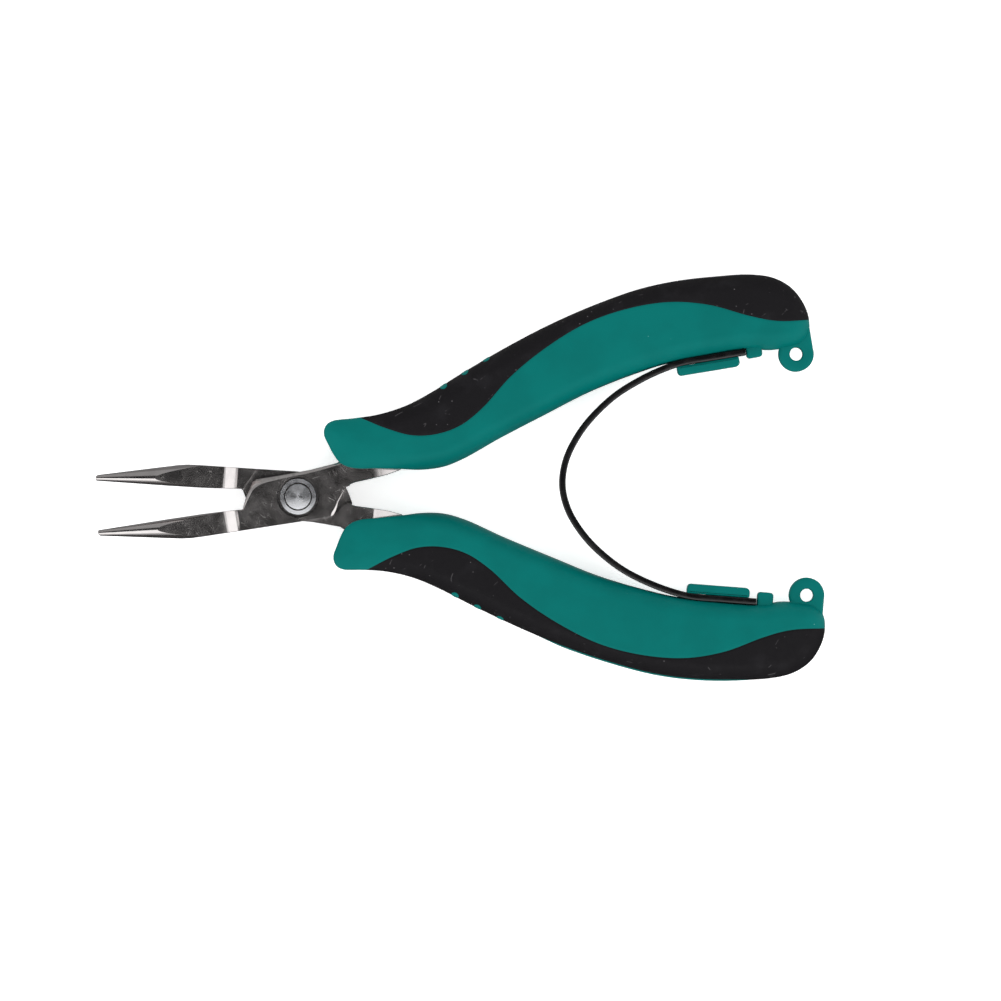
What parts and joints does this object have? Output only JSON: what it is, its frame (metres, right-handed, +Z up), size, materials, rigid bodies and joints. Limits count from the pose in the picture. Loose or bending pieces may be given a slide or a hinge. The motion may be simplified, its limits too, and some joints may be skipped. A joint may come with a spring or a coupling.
{
  "type": "fishing pliers",
  "caption": "Small long-nose pliers with a lap joint, two-tone moulded handles, a bow leaf spring that holds them open, and a lanyard loop at the end of each handle.",
  "frame": {"origin": "middle of the footprint at the table, with the pliers lying flat and open", "axes": "+X from the jaw tips towards the handle ends, +Y across the tool towards the upper handle, +Z up from the table along the pivot"},
  "size_m": [0.1328, 0.0744, 0.012],
  "materials": {
    "lever_steel": "ground and polished, lightly scratched",
    "pivot_steel": "turned bright",
    "handle_plastic": "satin moulded, teal",
    "grip_rubber": "matt soft moulded, black",
    "spring_steel": "black, glossy"
  },
  "bodies": {
    "upper_handle_lever": {"jaw_lever_a": "lever_steel", "handle_core_upper": "handle_plastic", "soft_grip_upper": "grip_rubber", "pivot_rivet": "pivot_steel", "pivot_bush_front": "pivot_steel", "pivot_bush_rear": "pivot_steel", "leaf_spring": "spring_steel"},
    "lower_handle_lever": {"jaw_lever_b": "lever_steel", "handle_core_lower": "handle_plastic", "soft_grip_lower": "grip_rubber"}
  },
  "joints": [
    {"name": "plier_pivot", "type": "hinge", "parent": "upper_handle_lever", "child": "lower_handle_lever", "pos_m": [-0.02927, 0, 0.006], "axis": [0, 0, 1], "range_deg": [0, 13.5], "stiffness_Nm_per_rad": 1.2, "springref_deg": -6.88, "deforming": ["leaf_spring"]}
  ]
}
